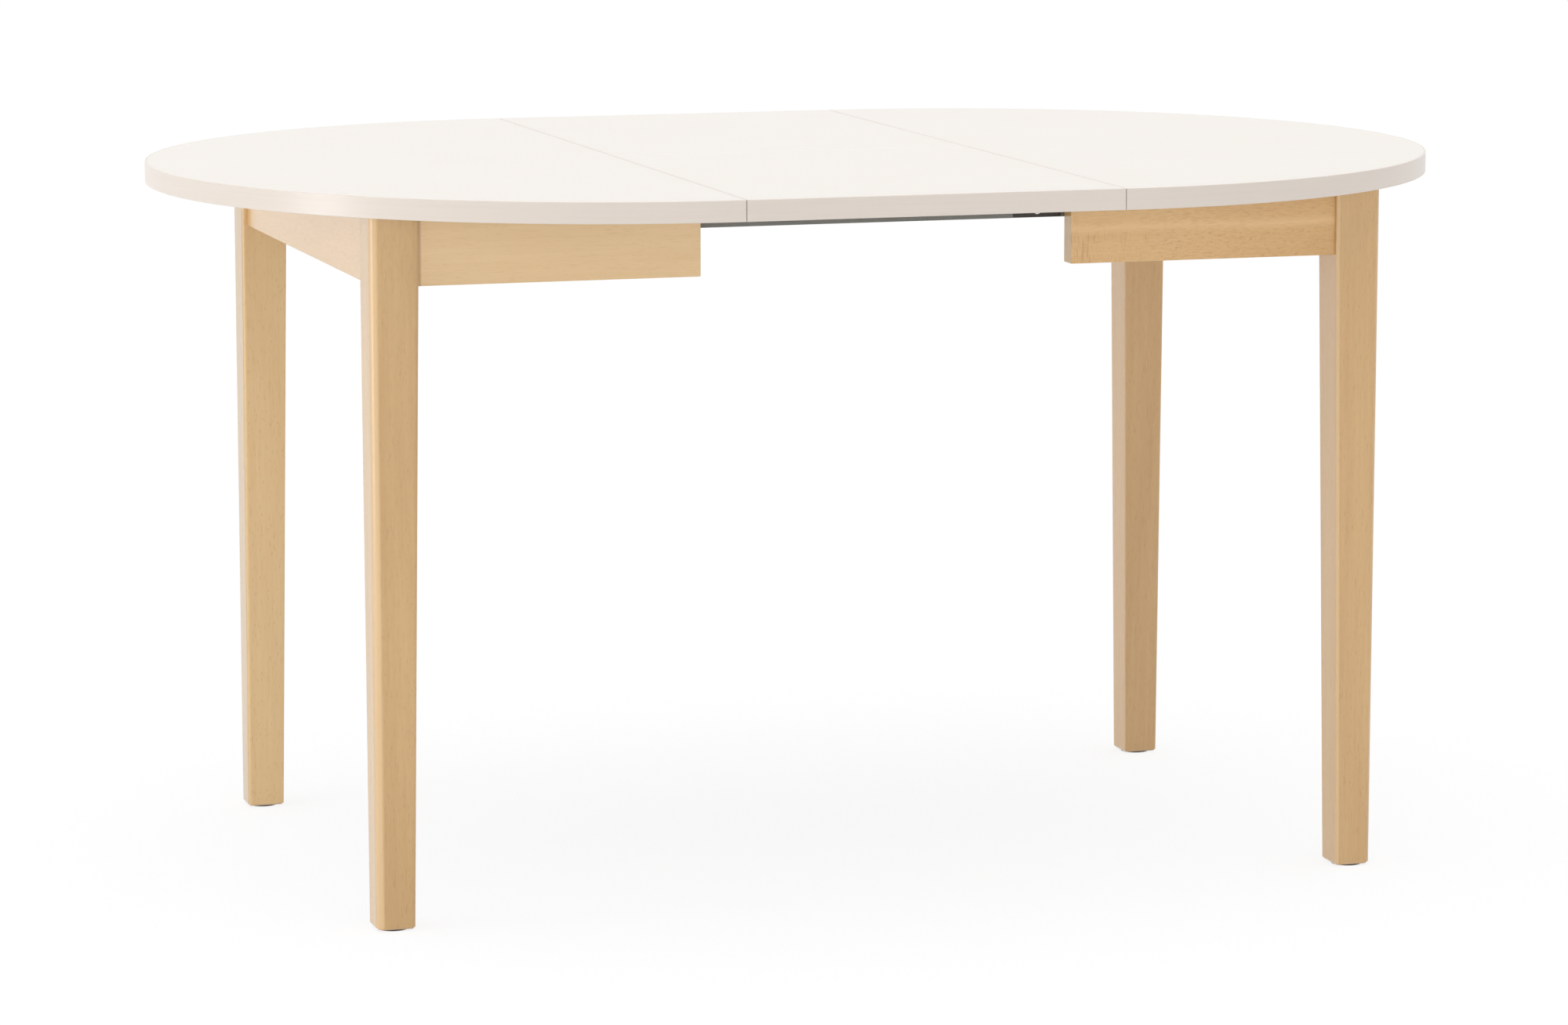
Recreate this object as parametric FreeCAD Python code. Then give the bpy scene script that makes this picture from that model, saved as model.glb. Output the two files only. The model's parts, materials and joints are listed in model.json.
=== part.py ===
import FreeCAD, Part
import os
from math import atan2, cos, degrees, hypot, pi, sin, sqrt

# Round extension dining table with a butterfly leaf, pulled open with the leaf in place.
# Frame: origin on the floor under the middle of the table, X along its length, -Y its front, Z up.
# All sizes are in millimetres. Pieces are drawn for the right half and the front, then mirrored.

Vec = FreeCAD.Vector

# Driving dimensions: the top
TOP_DIAMETER = 1000.0        # the closed round top, and the depth of the leaf
LEAF_LENGTH = 400.0          # the leaf along X, seam to seam
TABLE_HEIGHT = 755.0
TOP_THICKNESS = 22.0
BAND_THICKNESS = 2.0
BAND_ROUNDING = 0.8          # rounding of the band's outer edges
SEAM_GAP = 0.5               # leaf to half top
FOLD_GAP = 0.3               # wing to wing, leaf flat
FOLDED_GAP = 0.6             # face to face, leaf folded

# Driving dimensions: legs and aprons
LEG_REACH_X = 346.0          # seam to the legs' outer faces
LEG_REACH_Y = 343.0          # middle of the table to the legs' outer faces
LEG_TOP = 50.0               # square of the leg beside the aprons
LEG_FOOT = 40.0              # square of the leg at the floor, tapered on its two inner faces
LEG_CORNER_RADIUS = 9.0      # the leg's outer corner
LEG_SIDE_RADIUS = 4.0        # the two edges beside it
LEG_INNER_RADIUS = 1.5       # the edge inside the frame
FOOT_EASING = 2.0
GLIDE_RADIUS = 16.5
GLIDE_THICKNESS = 2.0
GLIDE_STEM_RADIUS = 2.0
GLIDE_STEM_LENGTH = 12.0
APRON_HEIGHT = 72.0
APRON_THICKNESS = 22.0
APRON_SETBACK = 6.0          # apron face behind the leg's face
APRON_EASING = 1.0
DOWEL_RADIUS = 4.0
DOWEL_LENGTH = 40.0
DOWEL_SPACING = 40.0
BLOCK_THICKNESS = 24.0       # corner block, from the leg's inner corner to its slant face
BLOCK_CLEARANCE = 3.0        # corner block to the slide channel above it and the apron's lower edge
LEG_BOLT_RADIUS = 4.0
LEG_BOLT_DEPTH = 35.0        # bolt in the leg
LEG_BOLT_TAIL = 2.0          # bolt past the nut
BOLT_CLEARANCE = 0.25        # bolt in the block and in the washer
WASHER_RADIUS = 11.0
WASHER_THICKNESS = 1.6
NUT_WIDTH = 13.0             # across flats
NUT_THICKNESS = 6.5

# Driving dimensions: brackets under the half tops
ANGLE_LEG = 34.0
ANGLE_WIDTH = 40.0
ANGLE_SHEET = 2.0
ANGLE_ROUNDING = 1.5         # outside of its bend
ANGLE_CORNER = 5.0           # its free corners
ANGLE_SPACING = 300.0
SCREW_RADIUS = 2.0
SCREW_HEAD_RADIUS = 4.0
SCREW_HEAD_HEIGHT = 2.0
SCREW_LENGTH = 14.0

# Driving dimensions: slides
CHANNEL_HEIGHT = 27.5
CHANNEL_DEPTH = 18.0
CHANNEL_SHEET = 1.5
CHANNEL_LIP = 5.0
CHANNEL_ROUNDING = 1.0       # outside of its bends
CHANNEL_SETBACK = 10.0       # channel behind the apron's free end
CHANNEL_END_GAP = 8.0        # channel to the leg
CHANNEL_SCREWS = 3
CHANNEL_SCREW_INSET = 30.0
RAIL_SHEET = 2.0
RAIL_WIDTH = 11.5
RAIL_GAP_Z = 1.0             # rail to the channel above and below
RAIL_GAP_Y = 2.5             # rail to the channel's web
RAIL_ROUNDING = 1.0          # outside of its bends
RAIL_ENGAGEMENT = 80.0       # rail in the channel, leaf in place
SHOE_LENGTH = 30.0
SHOE_CAP = 3.0
SHOE_CLEARANCE = 0.1
STOP_LENGTH = 52.0           # nylon stop on the rail's face
STOP_HEIGHT = 14.0
STOP_THICKNESS = 1.0
STOP_ROUNDING = 0.5
STOP_RISE = 0.5              # above the rail's lower edge
STOP_END_GAP = 2.7           # stop to the seam
BUTTON_RADIUS = 4.0          # domed button on the stop
BUTTON_HEIGHT = 1.3
BUTTON_ROUNDING = 1.0
BUTTON_RISE = 7.5            # above the rail's lower edge
BAR_WIDTH = 18.0
BAR_HEIGHT = 12.0
BAR_BOLT_RADIUS = 3.0
BAR_BOLT_LENGTH = 18.0
BAR_BOLT_HEAD_RADIUS = 5.0
BAR_BOLT_HEAD = 1.8

# Driving dimensions: leaf mechanism
BASE_PLATE_GAP = 3.0         # base plate to the leaf's edge, seen from above
BASE_PLATE = 3.0
BASE_PLATE_MARGIN = 9.0      # plate round its pivots
PIVOT_DROP = 12.0            # arm pivots below the wing
PIVOT_TO_RAIL = 53.5         # arm pivot in front of the rear rail
BASE_DROP = 58.0             # arm shaft below the underside of the top
GUIDE_SPACING = 36.0         # guide arm in front of the swing arm
STOW_CLEARANCE = 1.5         # stowed leaf to the underside of the top
ARM_WIDTH = 12.0
ARM_HUB_RADIUS = 8.0
ARM_SHEET = 4.0
ARM_SIDE_GAP = 0.5
SHAFT_RADIUS = 4.0
SHAFT_TAIL = 3.0             # shaft past the base plate
RING_RADIUS = 7.0
RING_THICKNESS = 1.0
RUNNING_GAP = 0.05           # pins and shaft in their holes
BUSH_WALL = 2.0
BUSH_FLANGE = 1.5
BUSH_FLANGE_RADIUS = 8.0
PIN_RADIUS = 4.0
PIN_HEAD_RADIUS = 6.0
PIN_HEAD = 2.0
PIN_END_GAP = 0.1
BRACKET_INSET = 8.0          # wing bracket inside the leaf's edge
BRACKET_SHEET = 3.0
BRACKET_FLANGE = 24.0
BRACKET_FLANGE_SHEET = 2.5
BRACKET_MARGIN = 10.0
BRACKET_SCREW_INSET = 7.0
PAD_RADIUS = 5.0
PAD_X = 150.0
BARREL_RADIUS = 7.0
BARREL_LENGTH = 22.0
BARREL_SLOT = 5.0
BARREL_SLOT_DEPTH = 12.0
BARREL_SLOT_HEIGHT = 10.0
BARREL_SPACING = 140.0

# Levels and planes that follow from them
radius = TOP_DIAMETER / 2
half_leaf = LEAF_LENGTH / 2
underside = TABLE_HEIGHT - TOP_THICKNESS
seam_x = half_leaf + SEAM_GAP
leg_x = seam_x + LEG_REACH_X
leg_inner_x = leg_x - LEG_TOP
leg_inner_y = LEG_REACH_Y - LEG_TOP
apron_bottom = underside - APRON_HEIGHT
apron_inner_x = leg_x - APRON_SETBACK - APRON_THICKNESS
apron_inner_y = LEG_REACH_Y - APRON_SETBACK - APRON_THICKNESS
leg_overhang = LEG_TOP - APRON_SETBACK - APRON_THICKNESS
channel_low = underside - CHANNEL_HEIGHT
channel_start = seam_x + CHANNEL_SETBACK
channel_end = leg_inner_x - CHANNEL_END_GAP
cavity_front = -apron_inner_y + CHANNEL_SHEET
cavity_rear = -apron_inner_y + CHANNEL_DEPTH - CHANNEL_SHEET
cavity_low = channel_low + CHANNEL_SHEET
cavity_high = underside - CHANNEL_SHEET
rail_low = cavity_low + RAIL_GAP_Z
rail_high = cavity_high - RAIL_GAP_Z
rail_mid = (rail_low + rail_high) / 2
rail_front = cavity_front + RAIL_GAP_Y
rail_end = seam_x + RAIL_ENGAGEMENT
pad_thickness = underside - rail_high
plate_x = half_leaf + BASE_PLATE_GAP
bar_x = plate_x + BASE_PLATE
bracket_x = half_leaf - BRACKET_INSET
swing_arm_x = bracket_x - BRACKET_SHEET - ARM_SIDE_GAP - ARM_SHEET
guide_arm_x = bracket_x + ARM_SIDE_GAP
block_high = channel_low - BLOCK_CLEARANCE
block_low = apron_bottom + BLOCK_CLEARANCE
block_mid = (block_low + block_high) / 2

# The arm shaft lies where one swing takes the wing from its place to its stow: on the line square to the
# travel through its middle, as far down as BASE_DROP says.
stow_shift = radius / 2
stow_drop = STOW_CLEARANCE + pad_thickness + 2 * TOP_THICKNESS + FOLDED_GAP
pivot_y = -rail_front - RAIL_WIDTH - PIVOT_TO_RAIL
pivot_z = underside - PIVOT_DROP
base_z = underside - BASE_DROP
base_y = pivot_y - stow_shift / 2 + (pivot_z - stow_drop / 2 - base_z) * stow_drop / stow_shift
arm_length = hypot(pivot_y - base_y, pivot_z - base_z)
rest_angle = atan2(pivot_z - base_z, pivot_y - base_y)
stow_angle = 2 * pi + atan2(pivot_z - stow_drop - base_z, pivot_y - stow_shift - base_y)
fold_z = TABLE_HEIGHT + FOLDED_GAP / 2

nodes = {}


def block(x0, x1, y0, y1, z0, z1):
    """Box between two corners."""
    return Part.makeBox(x1 - x0, y1 - y0, z1 - z0, Vec(x0, y0, z0))


def rod(r, start, end):
    """Cylinder from one point to another."""
    along = end - start
    return Part.makeCylinder(r, along.Length, start, along)


def ring(r_out, r_in, start, end):
    """Tube from one point to another."""
    return rod(r_out, start, end).cut(rod(r_in, start, end))


def outline(points):
    """Flat face inside a closed outline of straight runs."""
    return Part.Face(Part.makePolygon(points + points[:1]))


def rounded_outline(corners):
    """Closed wire with rounded corners: each is its point, the way in, the way out and its radius."""
    arcs = []
    for point, way_in, way_out, r in corners:
        middle = point + (way_out - way_in) * (r * (1 - sqrt(0.5)))
        arcs.append(Part.Arc(point - way_in * r, middle, point + way_out * r))
    edges = []
    for arc, following in zip(arcs, arcs[1:] + arcs[:1]):
        edges.append(arc.toShape())
        edges.append(Part.LineSegment(arc.EndPoint, following.StartPoint).toShape())
    return Part.Wire(edges)


def fused(*shapes):
    """One solid, without the seams between its pieces."""
    return shapes[0].multiFuse(list(shapes[1:])).removeSplitter()


def drilled(shape, tools):
    """Shape with a hole for each tool."""
    return shape.cut(list(tools))


def eased(shape, size, wanted):
    """Round the edges whose middle point is wanted."""
    return shape.makeFillet(size, [e for e in shape.Edges if wanted(e.CenterOfMass)])


def near(a, b):
    """Same place, to a hundredth."""
    return abs(a - b) < 0.01


def across(shape):
    """Copy on the other side, left for right."""
    return shape.mirror(Vec(0, 0, 0), Vec(1, 0, 0))


def to_rear(shape):
    """Copy at the rear of a front piece, or at the front of a rear one."""
    return shape.mirror(Vec(0, 0, 0), Vec(0, 1, 0))


def turned(shape):
    """Copy turned half round about the middle of the table."""
    return to_rear(across(shape))


def front_and_rear(shapes):
    """Front pieces and their copies at the rear."""
    return shapes + [to_rear(s) for s in shapes]


def right_and_left(shapes):
    """Right pieces and their copies on the left."""
    return shapes + [across(s) for s in shapes]


def both_halves(name, shapes):
    """One node for the right half of the table and one for the left."""
    nodes["right_" + name] = shapes
    nodes["left_" + name] = [across(s) for s in shapes]


def flat_screw(place, into):
    """Countersunk screw: its flat head lies level with the face at the place."""
    head = Part.makeCone(SCREW_HEAD_RADIUS, SCREW_RADIUS, SCREW_HEAD_HEIGHT, place, into)
    return fused(head, rod(SCREW_RADIUS, place, place + into * SCREW_LENGTH))


def pan_screw(place, into):
    """Round-headed screw: its head stands on the face at the place."""
    crown = place - into * SCREW_HEAD_HEIGHT
    head = rod(SCREW_HEAD_RADIUS, crown, place)
    head = eased(head, SCREW_HEAD_HEIGHT / 2, lambda c: near((c - crown).dot(into), 0))
    return fused(head, rod(SCREW_RADIUS, place, place + into * SCREW_LENGTH))


def half_disc(inset):
    """Slab of the top: a straight seam edge and a half circle round its middle, drawn in all round."""
    r = radius - inset
    reach = sqrt(r * r - inset * inset)
    front = Vec(seam_x + inset, -reach, underside)
    rear = Vec(seam_x + inset, reach, underside)
    rim = Part.Arc(front, Vec(seam_x + r, 0, underside), rear).toShape()
    seam = Part.LineSegment(rear, front).toShape()
    return Part.Face(Part.Wire([rim, seam])).extrude(Vec(0, 0, TOP_THICKNESS))


def half_top():
    """Half-round panel, and the band round its edge with the band's outer edges rounded."""
    panel = half_disc(BAND_THICKNESS)
    slab = half_disc(0)
    return panel, slab.makeFillet(BAND_ROUNDING, slab.Edges).cut(panel)


def leg_section(square, z, inset):
    """Section of the front right leg: a square held at its outer corner, which is rounded most."""
    x0 = leg_x - square + inset
    x1 = leg_x - inset
    y0 = -LEG_REACH_Y + inset
    y1 = -LEG_REACH_Y + square - inset
    right = Vec(1, 0, 0)
    rear = Vec(0, 1, 0)
    return rounded_outline([
        (Vec(x1, y0, z), right, rear, LEG_CORNER_RADIUS - inset),
        (Vec(x1, y1, z), rear, -right, LEG_SIDE_RADIUS - inset),
        (Vec(x0, y1, z), -right, -rear, LEG_INNER_RADIUS),
        (Vec(x0, y0, z), -rear, right, LEG_SIDE_RADIUS - inset),
    ])


def leg():
    """Front right leg: square beside the aprons, tapered below them, eased at the foot."""
    foot = GLIDE_THICKNESS
    return Part.makeLoft([
        leg_section(LEG_FOOT, foot, FOOT_EASING),
        leg_section(LEG_FOOT, foot + FOOT_EASING, 0),
        leg_section(LEG_TOP, apron_bottom, 0),
        leg_section(LEG_TOP, underside, 0),
    ], True, True)


def foot_glide():
    """Nylon disc under the leg with a stem driven into it."""
    x = leg_x - LEG_FOOT / 2
    y = -LEG_REACH_Y + LEG_FOOT / 2
    disc = rod(GLIDE_RADIUS, Vec(x, y, 0), Vec(x, y, GLIDE_THICKNESS))
    disc = eased(disc, GLIDE_THICKNESS / 2, lambda c: near(c.z, 0))
    stem_top = Vec(x, y, GLIDE_THICKNESS + GLIDE_STEM_LENGTH)
    return fused(disc, rod(GLIDE_STEM_RADIUS, Vec(x, y, GLIDE_THICKNESS), stem_top))


def side_apron():
    """Front right apron, from the leg to its free end in the plane of the seam."""
    outer_y = -LEG_REACH_Y + APRON_SETBACK
    board = block(seam_x, leg_inner_x, outer_y, -apron_inner_y, apron_bottom, underside)

    def shows(c):
        free_end = near(c.x, seam_x) and not near(c.z, underside)
        lower_edge = near(c.z, apron_bottom) and not near(c.x, leg_inner_x)
        return free_end or lower_edge
    return eased(board, APRON_EASING, shows)


def end_apron():
    """Right apron between the front and the rear leg."""
    outer_x = leg_x - APRON_SETBACK
    board = block(apron_inner_x, outer_x, -leg_inner_y, leg_inner_y, apron_bottom, underside)
    return eased(board, APRON_EASING, lambda c: near(c.z, apron_bottom) and near(c.y, 0))


def corner_dowels():
    """Dowels of the front right corner, two into the end apron and two into the side apron."""
    half = DOWEL_LENGTH / 2
    x = leg_x - APRON_SETBACK - APRON_THICKNESS / 2
    y = -LEG_REACH_Y + APRON_SETBACK + APRON_THICKNESS / 2
    made = []
    for step in (-1, 1):
        z = (apron_bottom + underside + step * DOWEL_SPACING) / 2
        made.append(rod(DOWEL_RADIUS, Vec(x, -leg_inner_y - half, z), Vec(x, -leg_inner_y + half, z)))
        made.append(rod(DOWEL_RADIUS, Vec(leg_inner_x - half, y, z), Vec(leg_inner_x + half, y, z)))
    return made


def corner_block():
    """Block behind the front right leg: it lies on both aprons, is notched for the leg and slant inside."""
    reach = 2 * leg_overhang + BLOCK_THICKNESS * sqrt(2)
    y = -apron_inner_y
    corners = [
        (apron_inner_x - reach, y),
        (leg_inner_x, y),
        (leg_inner_x, -leg_inner_y),
        (apron_inner_x, -leg_inner_y),
        (apron_inner_x, y + reach),
    ]
    face = outline([Vec(cx, cy, block_low) for cx, cy in corners])
    return face.extrude(Vec(0, 0, block_high - block_low))


def corner_bolt():
    """Bolt through the corner block into the leg, with its washer, its nut and the block's hole."""
    outward = Vec(1, -1, 0).normalize()
    sideways = Vec(1, 1, 0).normalize()
    corner = Vec(leg_inner_x, -leg_inner_y, block_mid)
    slant = corner - outward * BLOCK_THICKNESS
    seat = slant - outward * WASHER_THICKNESS
    nut_face = seat - outward * NUT_THICKNESS
    bolt = rod(LEG_BOLT_RADIUS, nut_face - outward * LEG_BOLT_TAIL, corner + outward * LEG_BOLT_DEPTH)
    hole_radius = LEG_BOLT_RADIUS + BOLT_CLEARANCE
    washer = ring(WASHER_RADIUS, hole_radius, seat, slant)
    points = []
    for i in range(6):
        turn = i * pi / 3
        spoke = sideways * cos(turn) + Vec(0, 0, 1) * sin(turn)
        points.append(seat + spoke * (NUT_WIDTH / sqrt(3)))
    nut = outline(points).extrude(outward * -NUT_THICKNESS).cut(bolt)
    # The block reaches past the leg's corner on both sides of the bolt, so its hole goes on that far.
    hole = rod(hole_radius, slant, corner + outward * hole_radius)
    return bolt, washer, nut, hole


def channel():
    """Slide channel on the front right apron: a lipped C, open to the middle of the table."""
    d = CHANNEL_DEPTH
    h = CHANNEL_HEIGHT
    t = CHANNEL_SHEET
    lip = CHANNEL_LIP
    lower = [(0, 0), (d, 0), (d, lip), (d - t, lip), (d - t, t), (t, t)]
    upper = [(y, h - z) for y, z in reversed(lower)]
    points = [Vec(channel_start, y - apron_inner_y, channel_low + z) for y, z in lower + upper]
    bent = outline(points).extrude(Vec(channel_end - channel_start, 0, 0))

    def bend(c):
        outside = near(c.y, -apron_inner_y) or near(c.y, d - apron_inner_y)
        return outside and (near(c.z, channel_low) or near(c.z, underside))
    return eased(bent, CHANNEL_ROUNDING, bend)


def channel_screws():
    """Flat screws through the web of the front right channel into the apron."""
    first = channel_start + CHANNEL_SCREW_INSET
    step = (channel_end - CHANNEL_SCREW_INSET - first) / (CHANNEL_SCREWS - 1)
    z = channel_low + CHANNEL_HEIGHT / 2
    seats = [Vec(first + i * step, cavity_front, z) for i in range(CHANNEL_SCREWS)]
    return [flat_screw(seat, Vec(0, -1, 0)) for seat in seats]


def top_angle():
    """Front right angle bracket between the end apron and the top, with its two screws."""
    y = -ANGLE_SPACING / 2
    y0 = y - ANGLE_WIDTH / 2
    y1 = y + ANGLE_WIDTH / 2
    low = underside - ANGLE_LEG
    inner = apron_inner_x - ANGLE_LEG
    upright = block(apron_inner_x - ANGLE_SHEET, apron_inner_x, y0, y1, low, underside)
    flat = block(inner, apron_inner_x, y0, y1, underside - ANGLE_SHEET, underside)

    def free_corner(c):
        return (near(c.y, y0) or near(c.y, y1)) and (near(c.z, low) or near(c.x, inner))
    bent = eased(fused(upright, flat), ANGLE_CORNER, free_corner)
    bent = eased(bent, ANGLE_ROUNDING, lambda c: near(c.x, apron_inner_x) and near(c.z, underside))
    into_apron = pan_screw(Vec(apron_inner_x - ANGLE_SHEET, y, underside - ANGLE_LEG / 2), Vec(1, 0, 0))
    into_top = pan_screw(Vec(apron_inner_x - ANGLE_LEG / 2, y, underside - ANGLE_SHEET), Vec(0, 0, 1))
    screws = [into_apron, into_top]
    return drilled(bent, screws), screws


def make_halves():
    """Everything that pulls out with one half of the top."""
    panel, band = half_top()
    angle, angle_screws = top_angle()
    angles = front_and_rear([angle])
    angle_screws = front_and_rear(angle_screws)
    dowels = corner_dowels()
    bolt, washer, nut, block_hole = corner_bolt()
    glide = foot_glide()
    screws = channel_screws()
    front_leg = drilled(leg(), dowels + [bolt, glide])
    front_apron = drilled(side_apron(), dowels + screws)
    front_channel = drilled(channel(), screws)
    both_halves("top", [drilled(panel, angle_screws)])
    both_halves("edge_band", [band])
    both_halves("end_apron", [drilled(end_apron(), front_and_rear(dowels) + angle_screws)])
    both_halves("front_apron", [front_apron])
    both_halves("rear_apron", [to_rear(front_apron)])
    both_halves("front_leg", [front_leg])
    both_halves("rear_leg", [to_rear(front_leg)])
    both_halves("dowels", front_and_rear(dowels))
    both_halves("corner_blocks", front_and_rear([corner_block().cut(block_hole)]))
    both_halves("leg_bolts", front_and_rear([bolt]))
    both_halves("leg_nuts", front_and_rear([washer, nut]))
    both_halves("foot_glides", front_and_rear([glide]))
    both_halves("front_channel", [front_channel])
    both_halves("rear_channel", [to_rear(front_channel)])
    both_halves("channel_screws", front_and_rear(screws))
    both_halves("top_angles", angles)
    both_halves("top_angle_screws", angle_screws)


def rail():
    """Front slide rail: a C of bent sheet, open to the middle of the table, its outer bends rounded."""
    w = RAIL_WIDTH
    h = rail_high - rail_low
    t = RAIL_SHEET
    section = [(0, 0), (w, 0), (w, t), (t, t), (t, h - t), (w, h - t), (w, h), (0, h)]
    points = [Vec(-rail_end, rail_front + y, rail_low + z) for y, z in section]
    bent = outline(points).extrude(Vec(2 * rail_end, 0, 0))

    def bend(c):
        return near(c.x, 0) and near(c.y, rail_front) and not near(c.z, rail_mid)
    return eased(bent, RAIL_ROUNDING, bend)


def rail_shoe(rail_solid):
    """Nylon shoe on the right end of the front rail, which runs in the channel."""
    gap = SHOE_CLEARANCE
    x0 = rail_end - SHOE_LENGTH
    x1 = rail_end + SHOE_CAP
    outer = block(x0, x1, cavity_front + gap, cavity_rear - gap, cavity_low + gap, cavity_high - gap)
    return outer.cut(rail_solid)


def rail_stop():
    """Nylon stop on the front rail's face beside the right seam, and the domed button low on its middle."""
    end = seam_x - STOP_END_GAP
    start = end - STOP_LENGTH
    face = rail_front - STOP_THICKNESS
    low = rail_low + STOP_RISE
    strip = block(start, end, face, rail_front, low, low + STOP_HEIGHT)
    strip = eased(strip, STOP_ROUNDING, lambda c: near(c.y, face))
    seat = Vec((start + end) / 2, face, rail_low + BUTTON_RISE)
    crown = seat - Vec(0, BUTTON_HEIGHT, 0)
    button = eased(rod(BUTTON_RADIUS, seat, crown), BUTTON_ROUNDING, lambda c: near(c.y, crown.y))
    return strip, button


def bar_bolt():
    """Bolt through the front rail into the end of the right cross bar."""
    seat = Vec(bar_x + BAR_WIDTH / 2, rail_front, rail_mid)
    inward = Vec(0, 1, 0)
    head = rod(BAR_BOLT_HEAD_RADIUS, seat - inward * BAR_BOLT_HEAD, seat)
    return fused(head, rod(BAR_BOLT_RADIUS, seat, seat + inward * BAR_BOLT_LENGTH))


def plate_bolts():
    """Bolts through the right base plate into the cross bar."""
    made = []
    for y in (base_y - GUIDE_SPACING, base_y):
        seat = Vec(plate_x, y, rail_mid)
        head = rod(BAR_BOLT_HEAD_RADIUS, seat - Vec(BAR_BOLT_HEAD, 0, 0), seat)
        shank = rod(BAR_BOLT_RADIUS, seat, seat + Vec(BASE_PLATE + BAR_WIDTH / 2, 0, 0))
        made.append(fused(head, shank))
    return made


def pivot_plate(x0, x1, rear_y, z, margin, top):
    """Upright plate round two pivots a guide spacing apart, with round lower corners and a square top."""
    front_y = rear_y - GUIDE_SPACING
    upper = block(x0, x1, front_y - margin, rear_y + margin, z, top)
    lower = block(x0, x1, front_y, rear_y, z - margin, z)
    rounds = [rod(margin, Vec(x0, y, z), Vec(x1, y, z)) for y in (front_y, rear_y)]
    return fused(upper, lower, *rounds)


def shaft_bush():
    """Flanged bush of the right base plate."""
    bore = SHAFT_RADIUS + RUNNING_GAP
    flange_face = Vec(plate_x - BUSH_FLANGE, base_y, base_z)
    inner_face = Vec(plate_x, base_y, base_z)
    outer_face = Vec(bar_x, base_y, base_z)
    flange = rod(BUSH_FLANGE_RADIUS, flange_face, inner_face)
    sleeve = rod(bore + BUSH_WALL, inner_face, outer_face)
    return fused(flange, sleeve).cut(rod(bore, flange_face, outer_face))


def guide_stud():
    """Shouldered stud of the right base plate, on which the guide arm turns."""
    y = base_y - GUIDE_SPACING
    head_face = guide_arm_x - PIN_END_GAP
    shoulder_face = guide_arm_x + ARM_SHEET + PIN_END_GAP
    head = rod(PIN_HEAD_RADIUS, Vec(head_face - PIN_HEAD, y, base_z), Vec(head_face, y, base_z))
    shoulder = rod(PIN_HEAD_RADIUS, Vec(shoulder_face, y, base_z), Vec(plate_x, y, base_z))
    core = rod(PIN_RADIUS, Vec(head_face, y, base_z), Vec(bar_x, y, base_z))
    return fused(core, head, shoulder)


def make_carriage():
    """Rails, cross bars and base plates, which carry the leaf between the halves."""
    bolt = bar_bolt()
    front_bolts = right_and_left([bolt])
    plate_bolt_pair = plate_bolts()
    plain_rail = rail()
    front_rail = drilled(plain_rail, front_bolts)
    shoes = right_and_left([rail_shoe(plain_rail)])
    stop, button = rail_stop()
    bar_end = -rail_front - RAIL_SHEET
    bar_low = rail_mid - BAR_HEIGHT / 2
    bar_high = rail_mid + BAR_HEIGHT / 2
    bar = block(bar_x, bar_x + BAR_WIDTH, -bar_end, bar_end, bar_low, bar_high)
    bar = drilled(bar, front_and_rear([bolt]) + plate_bolt_pair)
    bush = shaft_bush()
    bush_radius = SHAFT_RADIUS + RUNNING_GAP + BUSH_WALL
    bush_hole = rod(bush_radius, Vec(plate_x, base_y, base_z), Vec(bar_x, base_y, base_z))
    stud = guide_stud()
    plate = pivot_plate(plate_x, bar_x, base_y, base_z, BASE_PLATE_MARGIN, bar_high)
    plate = drilled(plate, plate_bolt_pair + [bush_hole, stud])
    nodes["front_rail"] = [front_rail]
    nodes["rear_rail"] = [to_rear(front_rail)]
    nodes["rail_shoes"] = front_and_rear(shoes)
    nodes["rail_stops"] = [stop, turned(stop)]
    nodes["rail_buttons"] = [button, turned(button)]
    nodes["cross_bars"] = right_and_left([bar])
    nodes["cross_bar_bolts"] = front_and_rear(front_bolts)
    nodes["base_plates"] = right_and_left([plate])
    nodes["base_plate_bolts"] = right_and_left(plate_bolt_pair)
    nodes["shaft_bushes"] = right_and_left([bush])
    nodes["guide_studs"] = right_and_left([stud])


def arm(x, foot_y, foot_hole):
    """Flat arm with a round hub at each end, from its foot up to its pivot under the rear wing."""
    foot = Vec(x, foot_y, base_z)
    along = Vec(0, cos(rest_angle), sin(rest_angle))
    side = Vec(0, -sin(rest_angle), cos(rest_angle)) * (ARM_WIDTH / 2)
    head = foot + along * arm_length
    through = Vec(ARM_SHEET, 0, 0)
    bar = outline([foot - side, head - side, head + side, foot + side]).extrude(through)
    hubs = [rod(ARM_HUB_RADIUS, p, p + through) for p in (foot, head)]
    holes = [rod(foot_hole, foot, foot + through), rod(PIN_RADIUS + RUNNING_GAP, head, head + through)]
    return drilled(fused(bar, *hubs), holes)


def make_arms():
    """Swing arms on their shaft, and the guide arms that keep the wing level."""
    shaft_end = bar_x + SHAFT_TAIL
    ring_start = bar_x + PIN_END_GAP
    ring_end = ring_start + RING_THICKNESS
    clip = ring(RING_RADIUS, SHAFT_RADIUS, Vec(ring_start, base_y, base_z), Vec(ring_end, base_y, base_z))
    shaft_left = Vec(-shaft_end, base_y, base_z)
    shaft_right = Vec(shaft_end, base_y, base_z)
    nodes["arm_shaft"] = [rod(SHAFT_RADIUS, shaft_left, shaft_right)]
    nodes["shaft_rings"] = right_and_left([clip])
    nodes["swing_arms"] = right_and_left([arm(swing_arm_x, base_y, SHAFT_RADIUS)])
    guide_foot_y = base_y - GUIDE_SPACING
    nodes["guide_arms"] = right_and_left([arm(guide_arm_x, guide_foot_y, PIN_RADIUS + RUNNING_GAP)])


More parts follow.
